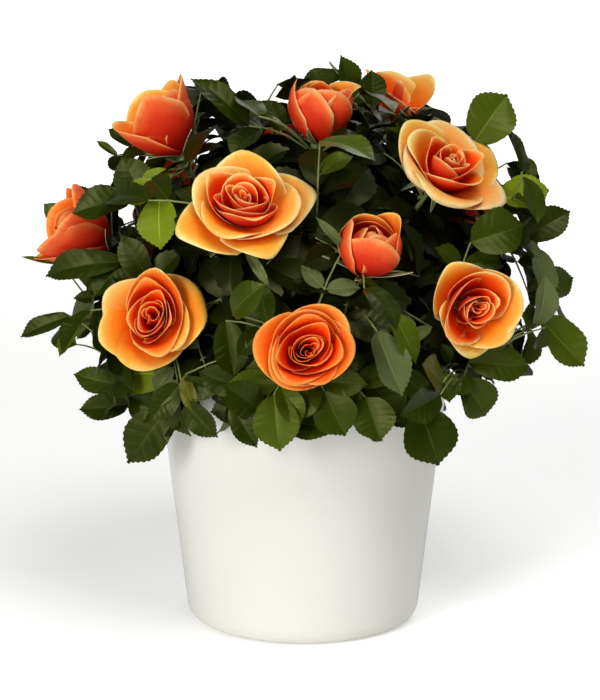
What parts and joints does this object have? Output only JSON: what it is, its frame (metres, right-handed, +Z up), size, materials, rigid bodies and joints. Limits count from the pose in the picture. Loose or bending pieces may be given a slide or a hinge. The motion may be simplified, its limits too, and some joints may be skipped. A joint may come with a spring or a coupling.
{
  "type": "potted rose bush",
  "caption": "Small patio rose bush with open orange and yellow blooms and buds above dark toothed leaves, planted in a plain white tapered round pot.",
  "frame": {"origin": "middle of the pot's flat underside", "axes": "+Z up along the pot's axis, -Y towards the side with the large open bloom, +X to that side's right"},
  "size_m": [0.2825, 0.2493, 0.2896],
  "materials": {
    "glazed_pot": "smooth warm-white glaze with a soft gloss",
    "compost": "dark moist potting compost, crumbly and matte",
    "bark": "green young bark with thorns, browner and rougher at the foot",
    "foliage": "semi-gloss dark green leaflets with paler veins, on thin green stalks",
    "petals": "velvety petals, orange-red at the base, golden yellow to cream at the lips"
  },
  "bodies": {
    "root": {"pot": "glazed_pot", "soil": "compost", "main_stem": "bark", "cane_left_high": "bark", "cane_left_low": "bark", "cane_centre": "bark", "cane_front": "bark", "cane_right_low": "bark", "cane_right_high": "bark", "cane_top": "bark", "cane_rear_left": "bark", "cane_rear": "bark", "cane_rear_right": "bark", "foliage_left_high": "foliage", "foliage_left_low": "foliage", "foliage_centre": "foliage", "foliage_front": "foliage", "foliage_right_low": "foliage", "foliage_right_high": "foliage", "foliage_top": "foliage", "foliage_rear_left": "foliage", "foliage_rear": "foliage", "foliage_rear_right": "foliage"}
  },
  "joints": []
}
